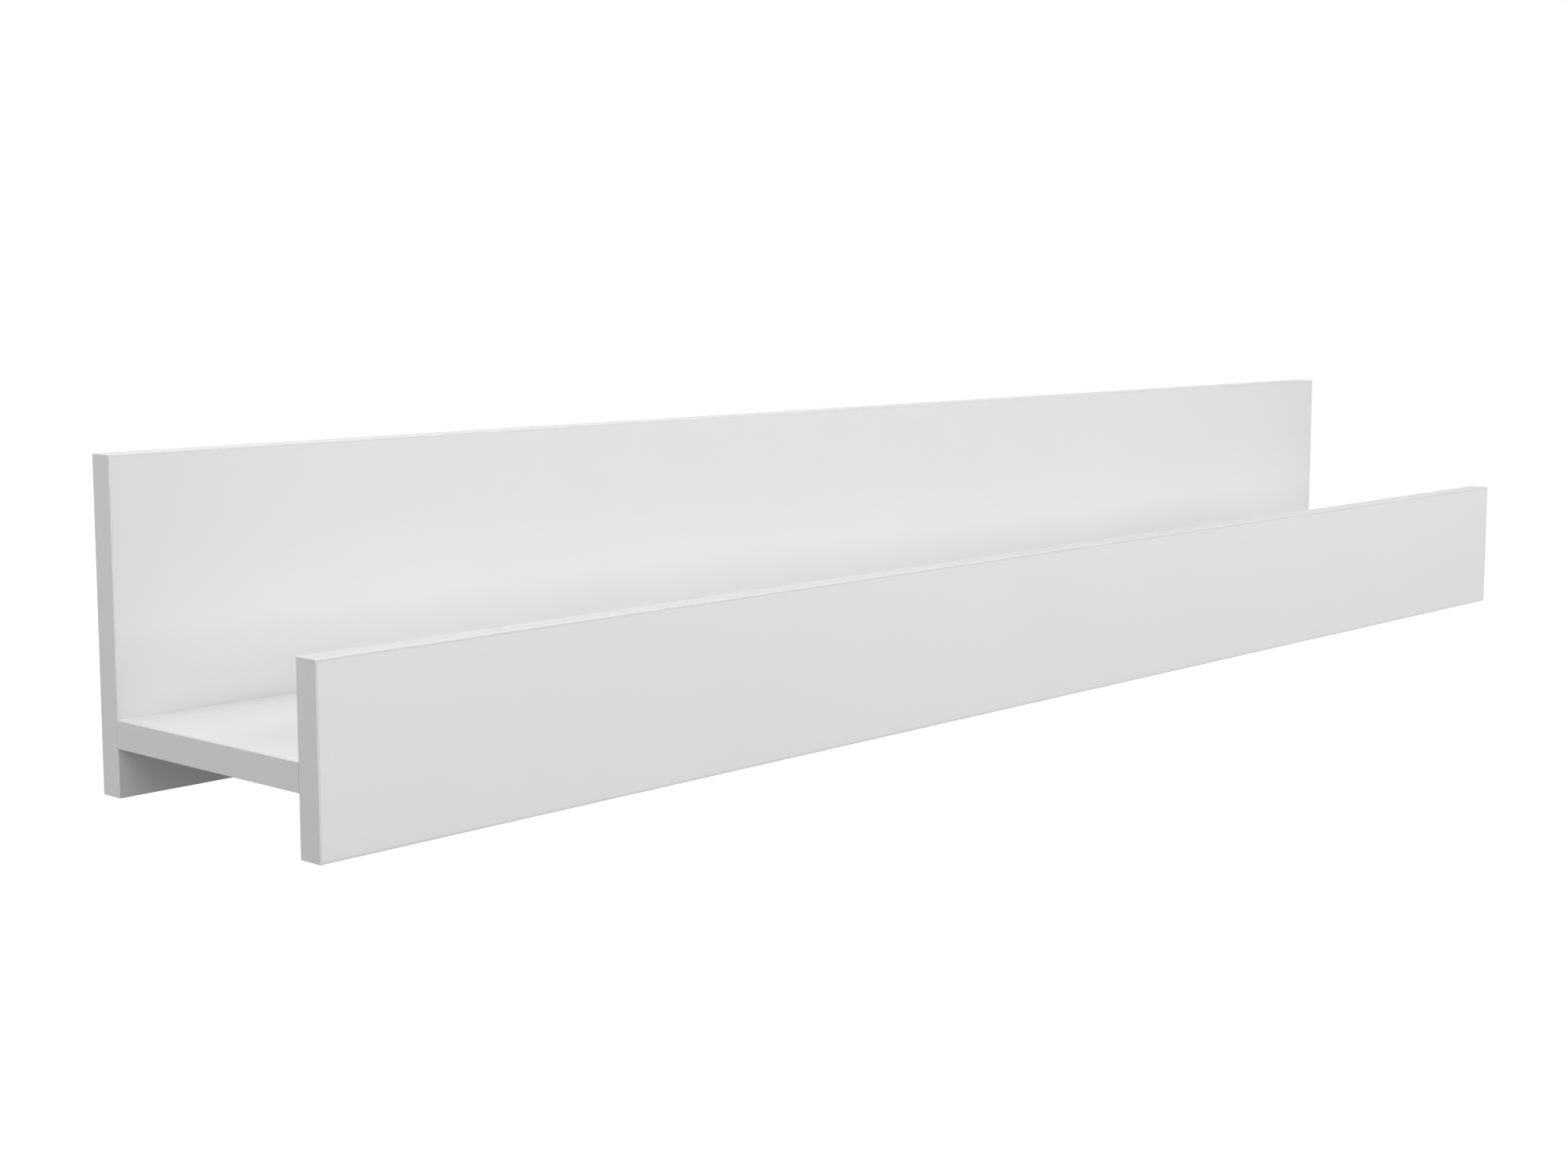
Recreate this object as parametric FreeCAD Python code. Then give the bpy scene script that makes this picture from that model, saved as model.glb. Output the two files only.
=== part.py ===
import FreeCAD, Part
import math
import os

# Floating wall shelf: a tall back panel, a shelf board and a lower front lip of white melamine-faced
# chipboard. X runs along the shelf, +Y points at the wall and +Z is up. The origin is the middle of the
# back panel's rear face, which lies on the wall. Sizes are in millimetres.

# Boards
length = 1200.0  # all three boards are as long as the shelf
board_t = 15.0
back_height = 175.0
lip_height = 96.0
depth = 182.0  # from the wall to the front of the lip
lip_drop = 6.0  # the lip hangs this far below the back panel
shelf_rise = 25.5  # shelf's underside above the back panel's bottom edge

# Edge bands
band_t = 1.3
edge_bevel = 0.6  # arrises of every banded edge, trimmed at 45 degrees

# Dowels between the shelf board and the two upright boards
dowel_d = 8.0
dowel_length = 30.0
dowel_in_upright = 10.0
dowel_fit = 0.05  # radial
dowel_end_room = 1.0  # glue room at the dowel's end in the shelf

# Cam bolts
bolt_thread_d = 5.0
bolt_thread_length = 11.0
bolt_thread_fit = 0.05  # radial
bolt_end_room = 0.5
bolt_shaft_d = 7.0
bolt_bore_fit = 0.5  # radial, around the shaft in the shelf's edge
bolt_to_cam = 0.6  # from the end of the shaft to the cam
bolt_neck_d = 3.8
bolt_head_d = 6.6

# Cams
cam_end_inset = 70.0  # cams from the shelf's ends
cam_inset = 24.0  # cam axis from the shelf's long edge
cam_d = 14.8
cam_fit = 0.1  # radial
cam_cover = 2.5  # board left above the cam's bore
cam_recess = 0.5  # cam's face inside the shelf's underside
cam_play = 0.3  # around the bolt's head and neck
cam_draw_turn = 170.0  # turn from the entry to the drawn-up state, in degrees
cam_over_turn = 60.0  # slot that is left past the drawn-up state, in degrees
cam_throw = 2.2  # chamber's centre off the cam's axis, towards the entry
cam_chamber_d = 11.2
cam_draw_gap = 0.05  # between the bolt's head and the ribs that draw it
cross_length = 7.0
cross_width = 1.6
cross_depth = 1.8

# Caps over the cams
cap_d = 18.0
cap_t = 1.2
cap_peg_fit = 0.15
cap_peg_end = 0.3  # room left at the bottom of the cam's cross

# Keyhole hanger plates
hanger_spacing = 800.0
hanger_below_top = 45.0  # screw seat below the back panel's top edge
plate_width = 22.0
plate_height = 62.0
plate_t = 2.0
plate_fit = 0.15
keyhole_d = 10.0
slot_width = 5.0
slot_travel = 10.0  # from the keyhole's centre up to the screw seat
relief_width = 13.0  # room for the wall screw's head behind the plate
relief_depth = 9.0

# Screws of the hanger plates
screw_pitch = 46.0
screw_d = 3.5
screw_length = 10.0
screw_head_d = 7.0
screw_sunk = 0.1  # head below the plate's face
screw_play = 0.15  # radial, in the plate's hole
screw_thread_fit = 0.05  # radial, in the board
screw_end_room = 0.5

V = FreeCAD.Vector
x_axis = V(1, 0, 0)
y_axis = V(0, 1, 0)
z_axis = V(0, 0, 1)

# Places that follow from the sizes
half = length / 2
back_low = -back_height / 2
back_top = back_height / 2
lip_low = back_low - lip_drop
lip_rear = -(depth - board_t)
shelf_low = back_low + shelf_rise
shelf_middle = shelf_low + board_t / 2
outer_cam = half - cam_end_inset
fixing_step = 2 * outer_cam / 3  # four fixings at even steps along each joint, the dowels inside
cam_places = [-outer_cam, outer_cam]
dowel_places = [-fixing_step / 2, fixing_step / 2]
joint_faces = {"back": (-board_t, 90), "front": (lip_rear, -90)}
seat_z = back_top - hanger_below_top
plate_z = seat_z - slot_travel / 2
hanger_places = [V(x, 0, plate_z) for x in (-hanger_spacing / 2, hanger_spacing / 2)]
screw_places = [V(0, 0, z) for z in (-screw_pitch / 2, screw_pitch / 2)]


def block(x0, x1, y0, y1, z0, z1):
    return Part.makeBox(x1 - x0, y1 - y0, z1 - z0, V(x0, y0, z0))


def turned(points, axis):
    # solid turned about an axis through the origin, from an outline that starts and ends on it
    outline = Part.makePolygon(points + points[:1])
    return Part.Face(outline).revolve(V(), axis, 360)


def obround(width, height, thick):
    # upright plate with round ends, centred on X and Z, from y = 0 to y = -thick
    r = width / 2
    h = height / 2 - r
    sides = [
        Part.makeLine(V(r, 0, -h), V(r, 0, h)),
        Part.Arc(V(r, 0, h), V(0, 0, h + r), V(-r, 0, h)).toShape(),
        Part.makeLine(V(-r, 0, h), V(-r, 0, -h)),
        Part.Arc(V(-r, 0, -h), V(0, 0, -h - r), V(r, 0, -h)).toShape(),
    ]
    return Part.Face(Part.Wire(sides)).extrude(V(0, -thick, 0))


def cross(arm_length, arm_width, z0, z1):
    # two crossed bars about the Z axis
    a = arm_length / 2
    b = arm_width / 2
    return block(-a, a, -b, b, z0, z1).fuse(block(-b, b, -a, a, z0, z1)).removeSplitter()


def at_joint(shape, side, x):
    # places a shape drawn at a butt joint: local +X goes out of the shelf into the upright board
    y, angle = joint_faces[side]
    placed = shape.copy()
    placed.rotate(V(), z_axis, angle)
    placed.translate(V(x, y, shelf_middle))
    return placed


def at_joints(shape, side, places):
    return [at_joint(shape, side, x) for x in places]


def at_hangers(shape):
    # copies of a shape drawn at a hanger plate's centre
    return [shape.translated(place) for place in hanger_places]


# Fittings, drawn at the joint: x = 0 on the upright board's face, z = 0 at the shelf's mid-thickness

def dowel():
    return Part.makeCylinder(dowel_d / 2, dowel_length, V(dowel_in_upright - dowel_length, 0, 0), x_axis)


def dowel_bore():
    # meets the dowel's end in the upright board and leaves glue room in the shelf
    start = dowel_in_upright - dowel_length - dowel_end_room
    return Part.makeCylinder(dowel_d / 2 + dowel_fit, dowel_in_upright - start, V(start, 0, 0), x_axis)


def polar(radius, angle):
    a = math.radians(angle)
    return V(radius * math.cos(a), radius * math.sin(a), 0)


def head_cone_start():
    # the head's cone rests on the two ribs of the cam, where they stand in the bolt's line
    turn = math.radians(cam_draw_turn)
    sideways = cam_throw * math.sin(turn)
    rib_x = cam_throw * math.cos(turn) + math.sqrt((cam_chamber_d / 2) ** 2 - sideways**2)
    return rib_x + cam_play - cam_draw_gap - cam_inset


def cam_bolt():
    # screwed into the upright board up to its shoulder, with a neck and a cone-backed head for the cam
    thread_r = bolt_thread_d / 2
    shaft_r = bolt_shaft_d / 2
    neck_r = bolt_neck_d / 2
    head_r = bolt_head_d / 2
    shaft_end = cam_d / 2 + bolt_to_cam - cam_inset
    cone_start = head_cone_start()
    head_end = cone_start - (head_r - neck_r)
    outline = [
        V(bolt_thread_length, 0, 0),
        V(bolt_thread_length, thread_r, 0),
        V(0, thread_r, 0),
        V(0, shaft_r, 0),
        V(shaft_end, shaft_r, 0),
        V(shaft_end, neck_r, 0),
        V(cone_start, neck_r, 0),
        V(head_end, head_r, 0),
        V(head_end, 0, 0),
    ]
    return turned(outline, x_axis)


def bolt_pilot():
    depth_in = bolt_thread_length + bolt_end_room
    return Part.makeCylinder(bolt_thread_d / 2 + bolt_thread_fit, depth_in, V(), x_axis)


def bolt_bore():
    # from the shelf's long edge into the cam's bore
    return Part.makeCylinder(bolt_shaft_d / 2 + bolt_bore_fit, cam_inset, V(-cam_inset, 0, 0), x_axis)


def cam_bottom():
    return cam_recess - board_t / 2


def cam_top():
    return board_t / 2 - cam_cover


def cam_bore():
    low = -board_t / 2
    return Part.makeCylinder(cam_d / 2 + cam_fit, cam_top() - low, V(-cam_inset, 0, low))


def neck_slot(half_height):
    # open sector that the bolt's neck sweeps from the entry to the end of the turn
    entry = -cam_draw_turn
    rim = Part.Arc(
        polar(cam_d, entry), polar(cam_d, (entry + cam_over_turn) / 2), polar(cam_d, cam_over_turn)
    ).toShape()
    ends = [Part.makeLine(V(), polar(cam_d, entry)), rim, Part.makeLine(polar(cam_d, cam_over_turn), V())]
    face = Part.Face(Part.Wire(ends))
    face.translate(V(0, 0, -half_height))
    return face.extrude(V(0, 0, 2 * half_height))


def cam():
    # round body with an eccentric chamber, open at one side where the bolt's head goes in: as the cam turns,
    # the ribs above and below the neck's slot come nearer to its axis and draw the bolt in
    chamber_half = bolt_head_d / 2 + cam_play
    chamber_middle = polar(cam_throw, -cam_draw_turn) - V(0, 0, chamber_half)
    body = Part.makeCylinder(cam_d / 2, cam_top() - cam_bottom(), V(0, 0, cam_bottom()))
    hollows = [
        Part.makeCylinder(cam_chamber_d / 2, 2 * chamber_half, chamber_middle),
        neck_slot(bolt_neck_d / 2 + cam_play),
        cross(cross_length, cross_width, cam_bottom(), cam_bottom() + cross_depth),
    ]
    return body.cut(hollows).removeSplitter().translated(V(-cam_inset, 0, 0))


def cam_cap():
    # flat disc on the shelf's underside, with a crossed peg in the cam's cross
    low = -board_t / 2 - cap_t
    disc = Part.makeCylinder(cap_d / 2, cap_t, V(0, 0, low))
    peg_top = cam_bottom() + cross_depth - cap_peg_end
    arm = cross_length - 2 * cap_peg_fit
    peg = cross(arm, cross_width - 2 * cap_peg_fit, -board_t / 2, peg_top)
    return disc.fuse(peg).translated(V(-cam_inset, 0, 0))


# Hangers, drawn at the plate's centre: y = 0 on the wall

def hanger_plate():
    keyhole = Part.makeCylinder(keyhole_d / 2, plate_t, V(0, -plate_t, -slot_travel / 2), y_axis)
    slot = obround(slot_width, slot_travel + slot_width, plate_t)
    hole_r = screw_d / 2 + screw_play
    mouth_r = screw_head_d / 2 + screw_sunk
    sink = Part.makeCone(mouth_r, hole_r, mouth_r - hole_r, V(), -y_axis)
    hole = Part.makeCylinder(hole_r, plate_t, V(0, -plate_t, 0), y_axis).fuse(sink)
    holes = [hole.translated(place) for place in screw_places]
    return obround(plate_width, plate_height, plate_t).cut([keyhole, slot] + holes)


def plate_pocket():
    # routed seat of the plate, and the deeper relief for the wall screw's head
    seat = obround(plate_width + 2 * plate_fit, plate_height + 2 * plate_fit, plate_t)
    relief = obround(relief_width, slot_travel + relief_width, relief_depth)
    pilot = Part.makeCylinder(
        screw_d / 2 + screw_thread_fit, screw_length + screw_sunk + screw_end_room, V(), -y_axis
    )
    pilots = [pilot.translated(place) for place in screw_places]
    return seat.fuse([relief] + pilots)


def hanger_screw():
    head_r = screw_head_d / 2
    shank_r = screw_d / 2
    tip = -screw_sunk - screw_length
    outline = [
        V(0, -screw_sunk, 0),
        V(head_r, -screw_sunk, 0),
        V(shank_r, -screw_sunk - (head_r - shank_r), 0),
        V(shank_r, tip, 0),
        V(0, tip, 0),
    ]
    return turned(outline, y_axis)


# Boards

def upright_board(rear, low, height):
    # one upright board from end to end, with every arris bevelled
    board = block(-half, half, rear - board_t, rear, low, low + height)
    return board.makeChamfer(edge_bevel, board.Edges)


def split_upright(board, rear, low, height):
    # an upright board as its core and four edge bands: the long bands run over the ends of the short ones
    y = (rear - board_t, rear)
    top = low + height
    inner = half - band_t
    parts = {
        "": block(-inner, inner, *y, low + band_t, top - band_t),
        "_edge_top": block(-half, half, *y, top - band_t, top),
        "_edge_bottom": block(-half, half, *y, low, low + band_t),
        "_edge_left": block(-half, -inner, *y, low + band_t, top - band_t),
        "_edge_right": block(inner, half, *y, low + band_t, top - band_t),
    }
    return {name: board.common(room) for name, room in parts.items()}


def split_shelf():
    # the shelf board as its core and the two bands on its ends, whose upper and lower arrises are bevelled
    y = (lip_rear, -board_t)
    z = (shelf_low, shelf_low + board_t)
    board = block(-half, half, *y, *z)
    arrises = [e for e in board.Edges if e.BoundBox.XLength < e.BoundBox.YLength]
    board = board.makeChamfer(edge_bevel, arrises)
    inner = half - band_t
    parts = {
        "": block(-inner, inner, *y, *z),
        "_edge_left": block(-half, -inner, *y, *z),
        "_edge_right": block(inner, half, *y, *z),
    }
    return {name: board.common(room) for name, room in parts.items()}


def joint_bores(side):
    # holes of one butt joint's dowels and bolts, through both boards
    return at_joints(dowel_bore(), side, dowel_places) + at_joints(bolt_pilot(), side, cam_places)


def shelf_bores(side):
    return at_joints(bolt_bore(), side, cam_places) + at_joints(cam_bore(), side, cam_places)


def all_parts():
    back = split_upright(upright_board(0, back_low, back_height), 0, back_low, back_height)
    back[""] = back[""].cut(joint_bores("back") + at_hangers(plate_pocket()))
    lip = split_upright(upright_board(lip_rear, lip_low, lip_height), lip_rear, lip_low, lip_height)
    lip[""] = lip[""].cut(joint_bores("front"))
    shelf = split_shelf()
    for side in joint_faces:
        shelf[""] = shelf[""].cut(joint_bores(side) + shelf_bores(side))
    parts = {}
    for board, pieces in (("back_panel", back), ("front_lip", lip), ("shelf_board", shelf)):
        for name, piece in pieces.items():
            parts[board + name] = piece
    for side in joint_faces:
        parts[side + "_dowels"] = Part.Compound(at_joints(dowel(), side, dowel_places))
        parts[side + "_cam_bolts"] = Part.Compound(at_joints(cam_bolt(), side, cam_places))
        parts[side + "_cams"] = Part.Compound(at_joints(cam(), side, cam_places))
        parts[side + "_cam_caps"] = Part.Compound(at_joints(cam_cap(), side, cam_places))
    screws = [hanger_screw().translated(place) for place in screw_places]
    parts["hanger_plates"] = Part.Compound(at_hangers(hanger_plate()))
    parts["hanger_screws"] = Part.Compound(at_hangers(Part.Compound(screws)))
    return parts


os.makedirs("parts", exist_ok=True)
for node, shape in all_parts().items():
    shape.exportStep("parts/" + node + ".step")
    print(node, len(shape.Solids), "solids", round(shape.Volume), "mm3", "valid" if shape.isValid() else "bad")
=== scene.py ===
import math

import bmesh
import bpy
import numpy as np
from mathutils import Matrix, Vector


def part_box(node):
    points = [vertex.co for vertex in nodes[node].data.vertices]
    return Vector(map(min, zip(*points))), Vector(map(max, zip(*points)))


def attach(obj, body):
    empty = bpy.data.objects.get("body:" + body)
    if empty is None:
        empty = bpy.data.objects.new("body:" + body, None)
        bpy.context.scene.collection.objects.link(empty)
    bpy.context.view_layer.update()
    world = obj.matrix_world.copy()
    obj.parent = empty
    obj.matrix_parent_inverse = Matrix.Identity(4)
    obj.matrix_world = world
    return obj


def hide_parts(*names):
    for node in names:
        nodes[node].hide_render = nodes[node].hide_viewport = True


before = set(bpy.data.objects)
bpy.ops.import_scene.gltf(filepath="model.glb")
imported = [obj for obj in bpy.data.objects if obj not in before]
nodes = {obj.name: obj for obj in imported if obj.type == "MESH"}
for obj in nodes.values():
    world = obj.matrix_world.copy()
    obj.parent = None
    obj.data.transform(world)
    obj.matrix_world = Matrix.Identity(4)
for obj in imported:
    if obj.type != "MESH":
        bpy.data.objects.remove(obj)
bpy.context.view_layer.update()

scene = bpy.context.scene
mm = 0.001


# small node helpers: a socket in the inputs is linked, anything else is set as it is
def addNode(tree, kind, inputs=None, **settings):
    made = tree.nodes.new("ShaderNode" + kind)
    for key, value in settings.items():
        setattr(made, key, value)
    for key, value in (inputs or {}).items():
        if isinstance(value, bpy.types.NodeSocket):
            tree.links.new(value, made.inputs[key])
        else:
            made.inputs[key].default_value = value
    return made


def emptyMaterial(name):
    finish = bpy.data.materials.new(name)
    finish.use_nodes = True
    finish.node_tree.nodes.clear()
    return finish, finish.node_tree


def startMaterial(name, metallic=0.0, ior=1.5):
    finish, tree = emptyMaterial(name)
    surface = addNode(tree, "BsdfPrincipled", {"Metallic": metallic, "IOR": ior})
    addNode(tree, "OutputMaterial", {"Surface": surface.outputs["BSDF"]})
    place = addNode(tree, "TexCoord").outputs["Object"]
    return finish, tree, surface, place


def noiseOf(tree, place, size, detail=2.0, rough=0.5):
    # size is that of one blotch, in metres
    return addNode(
        tree, "TexNoise", {"Vector": place, "Scale": 1 / size, "Detail": detail, "Roughness": rough}
    ).outputs[0]


def stretched(tree, place, scale):
    return addNode(tree, "Mapping", {"Vector": place, "Scale": scale}).outputs[0]


def ranged(tree, value, low, high, fromLow=0.3, fromHigh=0.7):
    # noise lies mostly between 0.3 and 0.7
    return addNode(
        tree, "MapRange",
        {"Value": value, "From Min": fromLow, "From Max": fromHigh, "To Min": low, "To Max": high},
    ).outputs[0]


def maths(tree, operation, a, b=0.0):
    return addNode(tree, "Math", {0: a, 1: b}, operation=operation).outputs[0]


def mixColour(tree, factor, a, b):
    return addNode(tree, "Mix", {0: factor, 6: a, 7: b}, data_type="RGBA").outputs[2]


def mixValue(tree, factor, a, b):
    return addNode(tree, "Mix", {0: factor, 2: a, 3: b}, data_type="FLOAT").outputs[0]


def dress(tree, surface, colour, roughness, relief, depth):
    # links the colour, the roughness and a relief of the given depth to the surface
    bump = addNode(tree, "Bump", {"Height": relief, "Distance": depth, "Strength": 1.0})
    for key, value in (("Base Color", colour), ("Roughness", roughness), ("Normal", bump.outputs[0])):
        tree.links.new(value, surface.inputs[key])


def grey(value):
    return (value, value, value, 1)


def refinish(node, finish):
    # a node that stays as it is gets a new material
    nodes[node].data.materials.clear()
    nodes[node].data.materials.append(finish)


print("frame in place:", len(nodes), "nodes")


# white melamine face on a chipboard core: the face is a thin skin, and wherever the surface lies between
# the board's two faces, in a bore or a routed pocket, the raw chips show
melamine = {
    "light": 0.738,
    "dark": 0.726,
    "paintedLightShade": {"back_panel": 0.98, "front_lip": 1.05, "shelf_board": 1.06},  # each board's tone scaled to paint in its light and shade: shelf and lip painted lighter, back panel painted darker
    "cloud": 0.17,  # slow drift of the paper's tone
    "gloss": (0.40, 0.50),
    "pearl": 0.0011,  # grain of the press plate
    "pearlFade": 0.02,
    "pearlShade": 0.9,
    "pearlDepth": 0.000012,
    "skin": 0.25 * mm,
    "chip": 0.0021,
    "chipSqueeze": (0.45, 1.3),  # in the board's plane, through it
    "chipTones": ((0.30, 0.185, 0.095, 1), (0.60, 0.44, 0.27, 1)),
    "chipDepth": 0.2 * mm,
    "dust": 0.0006,
    "dustFade": 0.55,
    "dustTone": (0.22, 0.13, 0.065, 1),
    "rawGloss": 0.92,
}


def boardFinish(board, axis, low, high):
    m = melamine
    finish, tree, surface, place = startMaterial("whiteMelamine_" + board)
    # both tones carry this board's painted light or painted shade
    light, dark = (m["paintedLightShade"][board] * m[key] for key in ("light", "dark"))
    cloud = noiseOf(tree, place, m["cloud"], 3)
    pearl = noiseOf(tree, place, m["pearl"], 3, 0.6)
    face = mixColour(tree, ranged(tree, cloud, 0, 1), grey(dark), grey(light))
    face = mixColour(tree, ranged(tree, pearl, 0, m["pearlFade"]), face, grey(dark * m["pearlShade"]))

    # chips: flat cells, longer across the press direction, over a fine sawdust
    inPlane, through = m["chipSqueeze"]
    squeeze = [inPlane] * 3
    squeeze[axis] = through
    flat = stretched(tree, place, squeeze)
    chips = addNode(tree, "TexVoronoi", {"Vector": flat, "Scale": 1 / m["chip"], "Randomness": 1})
    tone = addNode(tree, "SeparateColor", {0: chips.outputs["Color"]}).outputs[0]
    core = mixColour(tree, tone, *m["chipTones"])
    dust = noiseOf(tree, place, m["dust"], 4, 0.7)
    core = mixColour(tree, ranged(tree, dust, 0, m["dustFade"]), core, m["dustTone"])

    # raw is 1 between the two skins
    across = addNode(tree, "SeparateXYZ", {0: place}).outputs[axis]
    fromMiddle = maths(tree, "ABSOLUTE", maths(tree, "SUBTRACT", across, (low + high) / 2))
    raw = maths(tree, "LESS_THAN", fromMiddle, (high - low) / 2 - m["skin"])
    colour = mixColour(tree, raw, face, core)
    roughness = mixValue(tree, raw, ranged(tree, cloud, *m["gloss"]), m["rawGloss"])
    pearlRelief = maths(tree, "MULTIPLY", pearl, m["pearlDepth"] / m["chipDepth"])
    dress(tree, surface, colour, roughness, mixValue(tree, raw, pearlRelief, tone), m["chipDepth"])
    return finish


# which axis runs through each board's thickness
for board, axis in (("back_panel", 1), ("front_lip", 1), ("shelf_board", 2)):
    low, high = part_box(board)
    refinish(board, boardFinish(board, axis, low[axis], high[axis]))
print("boards faced in white melamine")


# mesh pieces from whole arrays
def ringFaces(rows, columns):
    # quads between neighbouring rows of a grid whose columns close on themselves
    row = np.arange(rows - 1)[:, None] * columns
    column = np.arange(columns)[None, :]
    after = (column + 1) % columns
    quads = np.stack([row + column, row + after, row + columns + after, row + columns + column], axis=-1)
    return quads.reshape(-1, 4)


def capped(grid):
    # a closed shell from rings of points: quads along it, and one flat face over each end
    rows, columns = grid.shape[:2]
    faces = ringFaces(rows, columns).tolist()
    faces.append(list(range(columns))[::-1])
    faces.append(list(range((rows - 1) * columns, rows * columns)))
    return grid.reshape(-1, 3), faces


def joined(shells):
    # several closed shells as one list of points and faces
    points, faces, count = [], [], 0
    for shellPoints, shellFaces in shells:
        points.append(shellPoints)
        faces += [[corner + count for corner in face] for face in shellFaces]
        count += len(shellPoints)
    return np.concatenate(points), faces


def makePiece(name, shell, node, finish, crease=40, attributes=None):
    points, faces = shell
    mesh = bpy.data.meshes.new(name)
    mesh.from_pydata(points.tolist(), [], faces)
    for key, values in (attributes or {}).items():
        layer = mesh.attributes.new(key, "FLOAT", "POINT")
        layer.data.foreach_set("value", np.ascontiguousarray(values, np.float32).ravel())
    work = bmesh.new()
    work.from_mesh(mesh)
    bmesh.ops.remove_doubles(work, verts=work.verts, dist=1e-7)
    bmesh.ops.dissolve_degenerate(work, edges=work.edges, dist=1e-8)
    bmesh.ops.recalc_face_normals(work, faces=work.faces)
    work.to_mesh(mesh)
    work.free()
    mesh.polygons.foreach_set("use_smooth", np.ones(len(mesh.polygons), bool))
    mesh.set_sharp_from_angle(angle=math.radians(crease))
    mesh.materials.append(finish)
    piece = bpy.data.objects.new(name, mesh)
    scene.collection.objects.link(piece)
    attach(piece, "root")
    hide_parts(node)
    return piece


# edge bands: strips of white plastic with eased arrises, toned darker than the boards as a painted shade
# on their brightly lit top edges
edging = {
    "ease": 0.5 * mm,  # radius of the trimmed arrises
    "steps": 7,
    "hold": 0.04 * mm,  # narrow rows beside each arc, so the flats shade flat
    "crease": 50,
    # tones kept below the boards' white: painted shade that holds down the lit top edges
    "light": 0.70,
    "dark": 0.688,
    "cloud": 0.09,
    "grain": 0.0008,
    "grainDepth": 0.000006,
    "gloss": (0.36, 0.46),
    "ior": 1.48,
    "glueLine": 0.09,  # share of the thickness where the glue darkens the seam
    "glueFade": 0.35,
    "glueTone": (0.55, 0.53, 0.49, 1),
}
# name: outward axis and side, axis along the band, and 1 where the band's own ends are eased
bandRuns = {}
for board in ("back_panel", "front_lip"):
    bandRuns[board + "_edge_top"] = (2, 1, 0, 1)
    bandRuns[board + "_edge_bottom"] = (2, -1, 0, 1)
    bandRuns[board + "_edge_left"] = (0, -1, 2, 0)
    bandRuns[board + "_edge_right"] = (0, 1, 2, 0)
bandRuns["shelf_board_edge_left"] = (0, -1, 1, 0)
bandRuns["shelf_board_edge_right"] = (0, 1, 1, 0)


def edgingFinish():
    e = edging
    finish, tree, surface, place = startMaterial("edgingWithPaintedShade", ior=e["ior"])
    cloud = noiseOf(tree, place, e["cloud"], 3)
    grain = noiseOf(tree, place, e["grain"], 2)
    # the darkened band tones paint shade on every band
    colour = mixColour(tree, ranged(tree, cloud, 0, 1), grey(e["dark"]), grey(e["light"]))
    outward = addNode(tree, "Attribute", attribute_name="fromCore").outputs["Fac"]
    seam = ranged(tree, outward, 1, 0, 0, e["glueLine"])
    colour = mixColour(tree, maths(tree, "MULTIPLY", seam, e["glueFade"]), colour, e["glueTone"])
    dress(tree, surface, colour, ranged(tree, grain, *e["gloss"]), grain, e["grainDepth"])
    return finish


def edgeBand(low, high, out, side, along, eased):
    # a slab whose rim is a quarter arc: each ring is the rectangle's outline drawn in by d at its height,
    # so a corner's points are its arc centre plus (ease - d) times the arc's direction. Ends that butt
    # against another band keep their full length, so only the two long arrises turn
    ease, hold, steps = (edging[key] for key in ("ease", "hold", "steps"))
    across = 3 - out - along
    thick = high[out] - low[out]
    quarter = np.linspace(0, math.pi / 2, steps)
    drawn = np.concatenate([[0, 0], ease * (1 - np.cos(quarter)), [ease]])
    height = np.concatenate([[0, thick - ease - hold], thick - ease + ease * np.sin(quarter), [thick]])
    inset = np.zeros((len(drawn), 1))
    inset[-1] = hold
    reach = (ease - drawn)[:, None]
    angle = np.concatenate([quarter + k * math.pi / 2 for k in range(4)])
    signU = np.repeat([1, -1, -1, 1], steps)
    signV = np.repeat([1, 1, -1, -1], steps)
    halfU = (high[along] - low[along]) / 2
    halfV = (high[across] - low[across]) / 2
    grid = np.zeros((len(drawn), len(angle), 3))
    grid[..., along] = signU * (halfU - eased * (ease + inset)) + eased * reach * np.cos(angle)
    grid[..., across] = signV * (halfV - ease - inset) + reach * np.sin(angle)
    grid[..., along] += (high[along] + low[along]) / 2
    grid[..., across] += (high[across] + low[across]) / 2
    inner = low[out] if side > 0 else high[out]
    grid[..., out] = inner + side * height[:, None]
    fromCore = np.repeat(height / thick, len(angle))
    return capped(grid), fromCore


edgingWithPaintedShade = edgingFinish()
for band, (out, side, along, eased) in bandRuns.items():
    shell, fromCore = edgeBand(*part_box(band), out, side, along, eased)
    share = {"fromCore": fromCore}
    makePiece(band + "_eased", shell, band, edgingWithPaintedShade, edging["crease"], share)
print("edge bands laid:", len(bandRuns))


# turned pieces: rows of axial places and radii carried round an axis. A radius may change with the angle,
# which gives threads, flutes and the driver's cross
turned = {
    "crease": 34,
    "ridge": (1.3, 3.4),  # a thread's height at its middle, cut off at 1, and its slope to both sides
    "crossShare": (0.0, 0.3, 0.55, 0.95, 1.0, 1.04),  # rings of a driver's cross, from its middle out
    "crossSunk": (1.0, 0.96, 0.62, 0.18, 0.03, 0.0),  # how deep each ring lies
}


def turnedShell(axial, radius, centre, axis, sense):
    columns = radius.shape[1]
    angle = np.linspace(0, 2 * math.pi, columns, endpoint=False)
    a, b = [k for k in range(3) if k != axis]
    grid = np.zeros((len(axial), columns, 3))
    grid[..., axis] = centre[axis] + sense * axial[:, None]
    grid[..., a] = centre[a] + radius * np.cos(angle)
    grid[..., b] = centre[b] + radius * np.sin(angle)
    return capped(grid)


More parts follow.
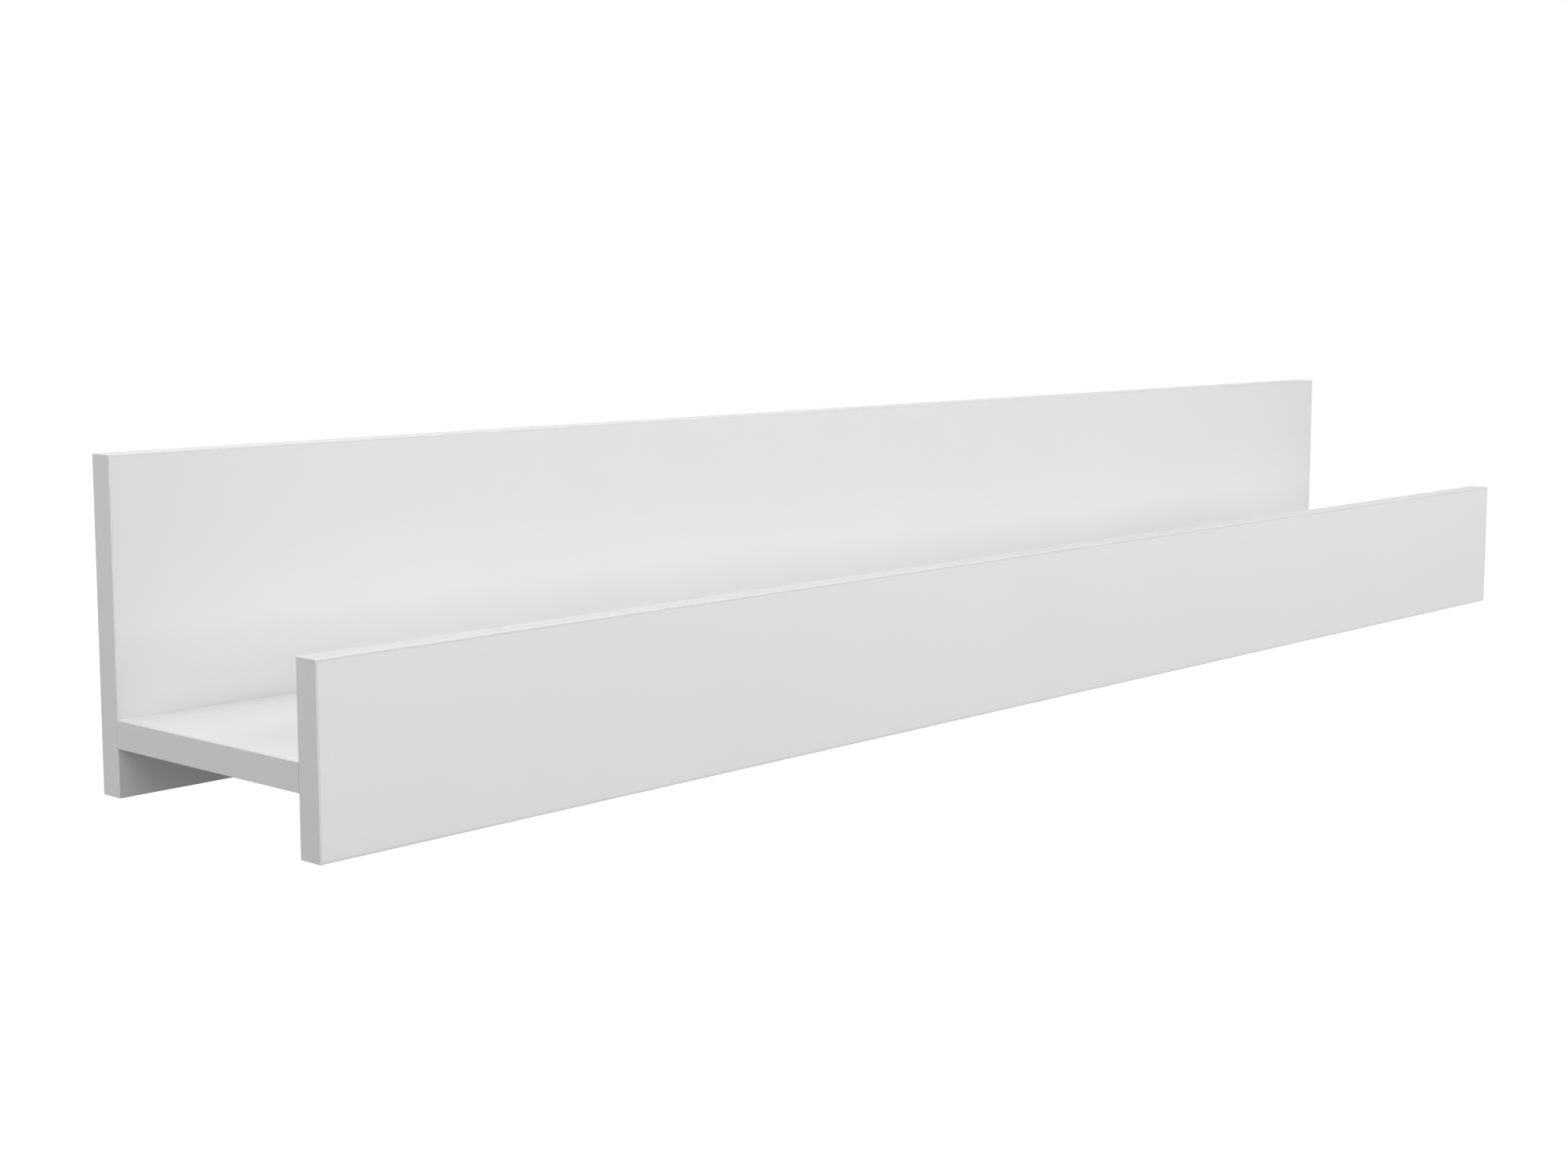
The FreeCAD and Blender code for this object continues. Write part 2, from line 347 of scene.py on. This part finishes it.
def outlineRows(corners, step, columns):
    # an outline of (axial, radius) corners as rows no further apart than a step
    corners = np.array(corners)
    lengths = np.abs(np.diff(corners[:, 0]))
    counts = np.maximum(np.ceil(lengths / step), 1).astype(int)
    along = np.concatenate([k + np.arange(n) / n for k, n in enumerate(counts)] + [[len(counts)]])
    axial = np.interp(along, np.arange(len(corners)), corners[:, 0])
    radius = np.interp(along, np.arange(len(corners)), corners[:, 1])
    return axial, np.repeat(radius[:, None], columns, axis=1)


def threaded(axial, radius, start, end, pitch, crest):
    # a ridge that climbs one pitch a turn: its height is a rounded saw of (place / pitch - angle / turn),
    # and it fades out over one pitch at each end
    top, slope = turned["ridge"]
    angle = np.linspace(0, 1, radius.shape[1], endpoint=False)
    phase = (axial[:, None] / pitch - angle) % 1.0
    ridge = np.clip(top - slope * np.abs(phase - 0.5), 0, 1)
    fade = np.clip(np.minimum(axial - start, end - axial) / pitch, 0, 1)[:, None]
    return radius + np.maximum(crest - radius, 0) * ridge * fade


def crossRows(reach, halfWidth, depth, columns):
    # the driver's recess in a head's face, from its bottom out: each ring is the outline of a cross, whose
    # radius is the nearer of an arm's end and an arm's side
    angle = np.linspace(0, 2 * math.pi, columns, endpoint=False)
    fromArm = np.abs((angle + math.pi / 4) % (math.pi / 2) - math.pi / 4)
    rim = np.minimum(reach / np.cos(fromArm), halfWidth / np.maximum(np.sin(fromArm), 1e-6))
    return depth * np.array(turned["crossSunk"]), np.array(turned["crossShare"])[:, None] * rim


def spots(node, radius):
    # centres of a node's like pieces from its box: two along the shelf, at the middle of its height
    low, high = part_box(node)
    return [np.array([x, 0.0, (low.z + high.z) / 2]) for x in (low.x + radius, high.x - radius)]


# covers over the cams: a low dome with a rolled rim and a thumb dimple, on a crossed peg
cover = {
    "radius": 9.0 * mm,
    "dome": 0.25 * mm,
    "rim": 0.45 * mm,
    "dimple": 2.2 * mm,
    "dimpleDepth": 0.16 * mm,
    "pegArm": 3.35 * mm,
    "pegWidth": 0.65 * mm,  # half of an arm's width
    "pegTip": 0.4 * mm,
    "pegTaper": 0.93,
    "rings": 22,
    "rimSteps": 9,
    "columns": 96,
    "tones": (0.715, 0.735),
    "cloud": 0.006,
    "spark": 0.0004,
    "sparkDepth": 0.000008,
    "gloss": (0.42, 0.52),
    "ior": 1.49,
}


def coverFinish():
    c = cover
    finish, tree, surface, place = startMaterial("whiteCapPlastic", ior=c["ior"])
    dark, light = c["tones"]
    colour = mixColour(tree, noiseOf(tree, place, c["cloud"]), grey(dark), grey(light))
    spark = noiseOf(tree, place, c["spark"])
    dress(tree, surface, colour, ranged(tree, spark, *c["gloss"]), spark, c["sparkDepth"])
    return finish


def coverDisc(centre, face, seat):
    # outer face: a parabola of the radius, less a cosine dimple; then a quarter arc and the straight side
    c = cover
    r = np.linspace(0, c["radius"] - c["rim"], c["rings"])
    dimple = np.where(r < c["dimple"], 0.5 + 0.5 * np.cos(math.pi * r / c["dimple"]), 0)
    sunk = c["dome"] * (r / r[-1]) ** 2 + c["dimpleDepth"] * dimple
    turn = np.linspace(0, math.pi / 2, c["rimSteps"])[1:]
    rimRadius = r[-1] + c["rim"] * np.sin(turn)
    rimSunk = sunk[-1] + c["rim"] * (1 - np.cos(turn))
    radius = np.concatenate([r, rimRadius, [c["radius"]]])
    axial = np.concatenate([sunk, rimSunk, [seat - face]])
    place = np.array([centre[0], centre[1], face])
    return turnedShell(axial, np.repeat(radius[:, None], c["columns"], axis=1), place, 2, 1)


def coverPeg(centre, seat, top):
    # outline of a cross carried upwards, drawn in towards its tip
    a, b = cover["pegArm"], cover["pegWidth"]
    outline = np.array([
        (a, -b), (a, b), (b, b), (b, a), (-b, a), (-b, b),
        (-a, b), (-a, -b), (-b, -b), (-b, -a), (b, -a), (b, -b),
    ])
    height = np.array([seat, top - cover["pegTip"], top])
    share = np.array([1.0, 1.0, cover["pegTaper"]])
    grid = np.zeros((len(height), len(outline), 3))
    grid[..., :2] = centre[:2] + share[:, None, None] * outline
    grid[..., 2] = height[:, None]
    return capped(grid)


coverWhite = coverFinish()
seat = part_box("shelf_board")[0].z
for side in ("back", "front"):
    low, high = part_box(side + "_cam_caps")
    shells = []
    for spot in spots(side + "_cam_caps", cover["radius"]):
        spot[1] = (low.y + high.y) / 2
        shells += [coverDisc(spot, low.z, seat), coverPeg(spot, seat, high.z)]
    makePiece(side + "_cam_covers", joined(shells), side + "_cam_caps", coverWhite)
print("cam covers pressed in")


# plated steel: a thin bright coat with fine lines drawn along the screws and bolts
plating = {
    "scratch": 0.00012,
    "drawn": 0.08,
    "scratchDepth": 0.000004,
    "cloud": 0.004,
    "dull": 0.82,
    "gloss": (0.28, 0.42),
}


def platedFinish(name, tint):
    p = plating
    finish, tree, surface, place = startMaterial(name, metallic=1.0)
    lines = noiseOf(tree, stretched(tree, place, (1, p["drawn"], 1)), p["scratch"], 3)
    cloud = noiseOf(tree, place, p["cloud"], 3)
    dull = tuple(p["dull"] * t for t in tint[:3]) + (1,)
    colour = mixColour(tree, ranged(tree, cloud, 0, 1), dull, tint)
    dress(tree, surface, colour, ranged(tree, lines, *p["gloss"]), lines, p["scratchDepth"])
    return finish


# screws of the hanger plates: countersunk, with a driver's cross and a coarse thread to a point
screw = {
    "headRadius": 3.5 * mm,
    "faceFlat": 2.6 * mm,
    "rimTurn": ((0.02 * mm, 0.3 * mm), (0.1 * mm, 0.12 * mm)),  # down from the face, in from the rim
    "throat": ((-0.3 * mm, 0.26 * mm), (0.2 * mm, 0.0)),  # past the cone's end, out from the core
    "coreRadius": 1.25 * mm,
    "threadRadius": 1.74 * mm,
    "pitch": 1.35 * mm,
    "point": 2.6 * mm,
    "tipRadius": 0.08 * mm,
    "tipCrest": 0.3 * mm,
    "crossReach": 1.95 * mm,
    "crossWidth": 0.48 * mm,
    "crossDepth": 1.5 * mm,
    "rowStep": 0.1 * mm,
    "columns": 72,
    "tint": (0.50, 0.505, 0.515, 1),
}


def hangerScrew(x, z, face, tip):
    # axial places run from the head's face to the point
    s = screw
    head, core = s["headRadius"], s["coreRadius"]
    length = face - tip
    coneEnd = head - core
    pointStart = length - s["point"]
    corners = [(0.0, s["faceFlat"])]
    corners += [(down, head - inward) for down, inward in s["rimTurn"]]
    corners += [(coneEnd + past, core + outward) for past, outward in s["throat"]]
    corners += [(pointStart, core), (length, s["tipRadius"])]
    axial, radius = outlineRows(corners, s["rowStep"], s["columns"])
    crest = np.interp(axial, [pointStart, length], [s["threadRadius"], s["tipCrest"]])[:, None]
    radius = threaded(axial, radius, coneEnd, length, s["pitch"], crest)
    crossAxial, crossRadius = crossRows(s["crossReach"], s["crossWidth"], s["crossDepth"], s["columns"])
    axial = np.concatenate([crossAxial, axial])
    radius = np.concatenate([crossRadius, radius])
    return turnedShell(axial, radius, np.array([x, face, z]), 1, -1)


low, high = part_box("hanger_screws")
shells = []
for x in (low.x + screw["headRadius"], high.x - screw["headRadius"]):
    for z in (low.z + screw["headRadius"], high.z - screw["headRadius"]):
        shells.append(hangerScrew(x, z, high.y, low.y))
screwSteel = platedFinish("platedScrewSteel", screw["tint"])
makePiece(
    "hanger_screws_cut", joined(shells), "hanger_screws", screwSteel, turned["crease"]
)
print("hanger screws driven")


# cam bolts: coarse thread in the upright board, thick shaft, thin neck and a cone-backed head
bolt = {
    "threadRadius": 2.5 * mm,
    "coreRadius": 1.85 * mm,
    "pitch": 2.0 * mm,
    "tipShare": 0.55,  # of the core's radius
    "tipLength": 1.1 * mm,
    "tipCrest": 2.2 * mm,
    "shoulder": 0.02 * mm,
    "shaftRadius": 3.5 * mm,
    "shaftLength": 16.0 * mm,
    "neckRadius": 1.9 * mm,
    "headRadius": 3.3 * mm,
    "soft": 0.3 * mm,
    "crossReach": 1.7 * mm,
    "crossWidth": 0.45 * mm,
    "crossDepth": 1.3 * mm,
    "rowStep": 0.15 * mm,
    "columns": 64,
    "tint": (0.54, 0.545, 0.55, 1),
}


def camBolt(centre, joint, sense, threadEnd, headEnd):
    # axial places run from the thread's tip to the head's face, measured out of the shelf from the joint
    b = bolt
    core, shaft, neck, head = (b[key + "Radius"] for key in ("core", "shaft", "neck", "head"))
    soft, shaftEnd = b["soft"], -b["shaftLength"]
    tipStart = threadEnd - b["tipLength"]
    corners = [
        (threadEnd, 0.0),
        (threadEnd, core * b["tipShare"]),
        (tipStart, core),
        (b["shoulder"], core),
        (0.0, shaft - soft),
        (-soft, shaft),
        (shaftEnd + soft, shaft),
        (shaftEnd, shaft - soft),
        (shaftEnd, neck),
        (headEnd + head - neck, neck),
        (headEnd + soft, head - soft),
        (headEnd, head - soft * 2),
    ]
    axial, radius = outlineRows(corners, b["rowStep"], b["columns"])
    crest = np.where(axial > tipStart, b["tipCrest"], b["threadRadius"])[:, None]
    ridged = threaded(axial, radius, 0.0, threadEnd, b["pitch"], crest)
    radius = np.where((axial > 0)[:, None], ridged, radius)
    crossAxial, crossRadius = crossRows(b["crossReach"], b["crossWidth"], b["crossDepth"], b["columns"])
    axial = np.concatenate([axial, (headEnd + crossAxial)[::-1]])
    radius = np.concatenate([radius, crossRadius[::-1]])
    return turnedShell(axial, radius, np.array([centre[0], joint, centre[2]]), 1, sense)


boltSteel = platedFinish("platedBoltSteel", bolt["tint"])
shelfLow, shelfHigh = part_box("shelf_board")
# face of the upright board, and the way out of the shelf
joints = {"back": (shelfHigh.y, 1), "front": (shelfLow.y, -1)}
for side, (joint, sense) in joints.items():
    node = side + "_cam_bolts"
    low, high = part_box(node)
    headEnd, threadEnd = sorted([(low.y - joint) * sense, (high.y - joint) * sense])
    shells = [camBolt(spot, joint, sense, threadEnd, headEnd) for spot in spots(node, bolt["shaftRadius"])]
    makePiece(node + "_cut", joined(shells), node, boltSteel, turned["crease"])
print("cam bolts driven")


# beech dowels: straight glue flutes and bevelled ends
dowel = {
    "radius": 4.0 * mm,
    "flutes": 16,
    "fluteDepth": 0.28 * mm,
    "fluteSharpness": 6,
    "fluteColumns": 10,
    "bevel": 1.1 * mm,
    "bevelSlope": 0.8,
    "holdRow": 3.3 * mm,  # a row behind the bevel, so the long side shades straight
}
wood = {
    "fibre": 0.0006,
    "fibreStretch": 0.06,
    "fibreDepth": 0.00002,
    "tones": ((0.50, 0.31, 0.165, 1), (0.64, 0.43, 0.255, 1)),
    "gloss": (0.55, 0.7),
    "fleckScale": 1100,
    "fleckStretch": 0.16,
    "fleckReach": 0.22,
    "fleckFade": 0.5,
    "fleckTone": (0.34, 0.19, 0.095, 1),
}


def beechFinish():
    w = wood
    finish, tree, surface, place = startMaterial("beech")
    fibre = noiseOf(tree, stretched(tree, place, (1, w["fibreStretch"], 1)), w["fibre"], 4, 0.6)
    cells = {"Vector": stretched(tree, place, (1, w["fleckStretch"], 1)), "Scale": w["fleckScale"]}
    flecks = addNode(tree, "TexVoronoi", cells).outputs["Distance"]
    fleck = ranged(tree, flecks, w["fleckFade"], 0, 0, w["fleckReach"])
    colour = mixColour(tree, ranged(tree, fibre, 0, 1), *w["tones"])
    colour = mixColour(tree, fleck, colour, w["fleckTone"])
    dress(tree, surface, colour, ranged(tree, fibre, *w["gloss"]), fibre, w["fibreDepth"])
    return finish


def flutedDowel(centre, start, end):
    # radius less a narrow cosine groove at each flute, and less a straight bevel towards each end
    d = dowel
    length = end - start
    angle = np.linspace(0, 2 * math.pi, d["flutes"] * d["fluteColumns"], endpoint=False)
    groove = d["fluteDepth"] * (0.5 + 0.5 * np.cos(d["flutes"] * angle)) ** d["fluteSharpness"]
    axial = np.array([0, d["bevel"], d["holdRow"], 0.5 * length])
    axial = np.concatenate([axial, length - axial[-2::-1]])
    fromEnd = np.minimum(axial, length - axial)
    bevel = d["bevelSlope"] * np.maximum(d["bevel"] - fromEnd, 0)
    radius = d["radius"] - groove[None, :] - bevel[:, None]
    return turnedShell(axial, radius, np.array([centre[0], start, centre[2]]), 1, 1)


beech = beechFinish()
for side in ("back", "front"):
    node = side + "_dowels"
    low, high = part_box(node)
    shells = [flutedDowel(spot, low.y, high.y) for spot in spots(node, dowel["radius"])]
    makePiece(node + "_fluted", joined(shells), node, beech, turned["crease"])
print("dowels glued in")


# cams of die-cast zinc: a dull grey skin with cast mottling
cast = {
    "skin": 0.0016,
    "tones": ((0.42, 0.43, 0.44, 1), (0.60, 0.61, 0.62, 1)),
    "gloss": (0.38, 0.56),
    "pits": 0.00035,
    "pitDepth": 0.00002,
}


def castFinish():
    finish, tree, surface, place = startMaterial("dieCastZinc", metallic=1.0)
    skin = noiseOf(tree, place, cast["skin"], 4, 0.6)
    pits = noiseOf(tree, place, cast["pits"])
    colour = mixColour(tree, ranged(tree, skin, 0, 1), *cast["tones"])
    dress(tree, surface, colour, ranged(tree, skin, *cast["gloss"]), pits, cast["pitDepth"])
    return finish


# hanger plates of galvanised sheet: small crystals of zinc, each of its own grey, under rolling lines
plate = {
    "crystal": 2.4 * mm,
    "bend": 1.6 * mm,  # how far the crystals' edges wander
    "tones": ((0.26, 0.267, 0.277, 1), (0.36, 0.37, 0.383, 1)),
    "gloss": (0.40, 0.52),
    "line": 0.0003,
    "lineStretch": 0.05,
    "lineDepth": 0.000008,
}


def galvanisedFinish():
    p = plate
    finish, tree, surface, place = startMaterial("galvanisedSteel", metallic=1.0)
    scale = 1 / p["crystal"]
    wander = addNode(tree, "TexNoise", {"Vector": place, "Scale": scale, "Detail": 2}).outputs["Color"]
    bend = {0: wander, 1: (p["bend"],) * 3, 2: place}
    bent = addNode(tree, "VectorMath", bend, operation="MULTIPLY_ADD").outputs[0]
    crystals = addNode(tree, "TexVoronoi", {"Vector": bent, "Scale": scale}).outputs["Color"]
    tone = addNode(tree, "SeparateColor", {0: crystals}).outputs[0]
    lines = noiseOf(tree, stretched(tree, place, (1, 1, p["lineStretch"])), p["line"], 3)
    colour = mixColour(tree, tone, *p["tones"])
    dress(tree, surface, colour, mixValue(tree, tone, *p["gloss"]), lines, p["lineDepth"])
    return finish


castZinc = castFinish()
for node in ("back_cams", "front_cams"):
    refinish(node, castZinc)
refinish("hanger_plates", galvanisedFinish())
print("cams and hanger plates finished")


# studio: a pale floor far below the hanging shelf, soft lamps and a faint even sky
studio = {
    "floorLevel": -1.5,
    "floorSize": 16.0,  # half of its side
    "floorTone": 0.12,  # what the floor gives back to the shelf's underside
    "floorShown": 0.8,  # its tone as it is seen
    "floorLift": (0.3, 1.05),  # glow of the floor as it is seen, below the shelf and far from it
    "liftReach": (1.6, 2.4),  # distances between which that glow rises
    "sky": 0.03,
}
lamps = {
    "frontHigh": {"at": (0.3, -2.3, 0.98), "aim": (0.1, 0, 0), "size": (4.0, 0.8), "power": 34},
    "frontLevel": {"at": (0.1, -1.35, 0.32), "aim": (0.1, 0, 0.25), "size": (4.0, 0.6), "power": 15.2},
    "frontLow": {"at": (-0.6, -1.5, -0.6), "aim": (-0.2, 0, 0), "size": (4.0, 0.5), "power": 2.5},
    "leftEnds": {"at": (-3.0, 0.6, 0.35), "aim": (-0.6, 0, 0), "size": (1.2, 1.6), "power": 17},
    "rightEnds": {"at": (3.0, 0.6, 0.35), "aim": (0.6, 0, 0), "size": (1.2, 1.6), "power": 15},
    "topLeft": {"at": (-1.3, -0.06, 1.6), "aim": (-0.5, -0.09, 0), "size": (0.3, 1.2), "power": 13},
    "topRear": {"at": (0.0, 0.6, 2.4), "aim": (0, -0.1, 0), "size": (4.0, 1.0), "power": 32},
    "rear": {"at": (0.3, 2.6, 0.1), "aim": (0, 0, 0), "size": (4.6, 1.2), "power": 60},
}
notMirrored = ("rightEnds", "rear")  # their glare would drown the lip's top and the hanger plates


def seenRay(tree):
    # 1 for rays that show the backdrop: straight from the camera, or by way of metal or glass
    path = addNode(tree, "LightPath").outputs
    seen = maths(tree, "MAXIMUM", path["Is Camera Ray"], path["Is Glossy Ray"])
    return maths(tree, "MAXIMUM", seen, path["Is Transmission Ray"])


def makeFloor():
    s, level = studio["floorSize"], studio["floorLevel"]
    mesh = bpy.data.meshes.new("floor")
    corners = [(-s, -s, level), (s, -s, level), (s, s, level), (-s, s, level)]
    mesh.from_pydata(corners, [], [(0, 1, 2, 3)])
    finish, tree = emptyMaterial("paleFloor")
    plain = addNode(tree, "BsdfDiffuse", {"Color": grey(studio["floorTone"])})
    shown = addNode(tree, "BsdfDiffuse", {"Color": grey(studio["floorShown"])})
    place = addNode(tree, "TexCoord").outputs["Object"]
    away = addNode(tree, "VectorMath", {0: place}, operation="LENGTH").outputs["Value"]
    glow = ranged(tree, away, *studio["floorLift"], *studio["liftReach"])
    lift = addNode(tree, "Emission", {"Color": grey(1), "Strength": glow})
    lifted = addNode(tree, "AddShader", {0: shown.outputs[0], 1: lift.outputs[0]})
    both = addNode(tree, "MixShader", {0: seenRay(tree), 1: plain.outputs[0], 2: lifted.outputs[0]})
    addNode(tree, "OutputMaterial", {"Surface": both.outputs[0]})
    mesh.materials.append(finish)
    floor = bpy.data.objects.new("floor", mesh)
    scene.collection.objects.link(floor)


def makeSky():
    world = bpy.data.worlds.new("sky")
    world.use_nodes = True
    tree = world.node_tree
    tree.nodes.clear()
    even = addNode(tree, "Background", {"Color": grey(1), "Strength": studio["sky"]})
    white = addNode(tree, "Background", {"Color": grey(1), "Strength": 1.0})
    both = addNode(tree, "MixShader", {0: seenRay(tree), 1: even.outputs[0], 2: white.outputs[0]})
    addNode(tree, "OutputWorld", {"Surface": both.outputs[0]})
    scene.world = world


def makeLamp(name, at, aim, size, power):
    data = bpy.data.lights.new(name, "AREA")
    data.shape = "RECTANGLE"
    data.size, data.size_y = size
    data.energy = power
    lamp = bpy.data.objects.new(name, data)
    lamp.visible_camera = False
    lamp.visible_glossy = name not in notMirrored
    lamp.location = at
    away = Vector(at) - Vector(aim)
    lamp.rotation_euler = away.to_track_quat("Z", "Y").to_euler()
    scene.collection.objects.link(lamp)


makeFloor()
makeSky()
for name, lamp in lamps.items():
    makeLamp(name, **lamp)
print("studio lit with", len(lamps), "lamps")


# camera at the photograph's viewpoint
viewpoint = {
    "at": (-1.22421, -1.03294, 0.17267),
    "heading": -47.9226,  # degrees from straight at the wall
    "pitch": -6.7035,
    "lens": 52.8048,
    "sensor": 36.0,
    "shift": (0.0, -0.022125),
    "clip": (0.01, 100),
}
lens = bpy.data.cameras.new("viewpoint")
lens.sensor_fit = "HORIZONTAL"
lens.sensor_width = viewpoint["sensor"]
lens.lens = viewpoint["lens"]
lens.shift_x, lens.shift_y = viewpoint["shift"]
lens.clip_start, lens.clip_end = viewpoint["clip"]
camera = bpy.data.objects.new("viewpoint", lens)
camera.location = viewpoint["at"]
camera.rotation_euler = (math.radians(90 + viewpoint["pitch"]), 0, math.radians(viewpoint["heading"]))
scene.collection.objects.link(camera)
scene.camera = camera
scene.view_settings.view_transform = "Standard"
print("camera set")
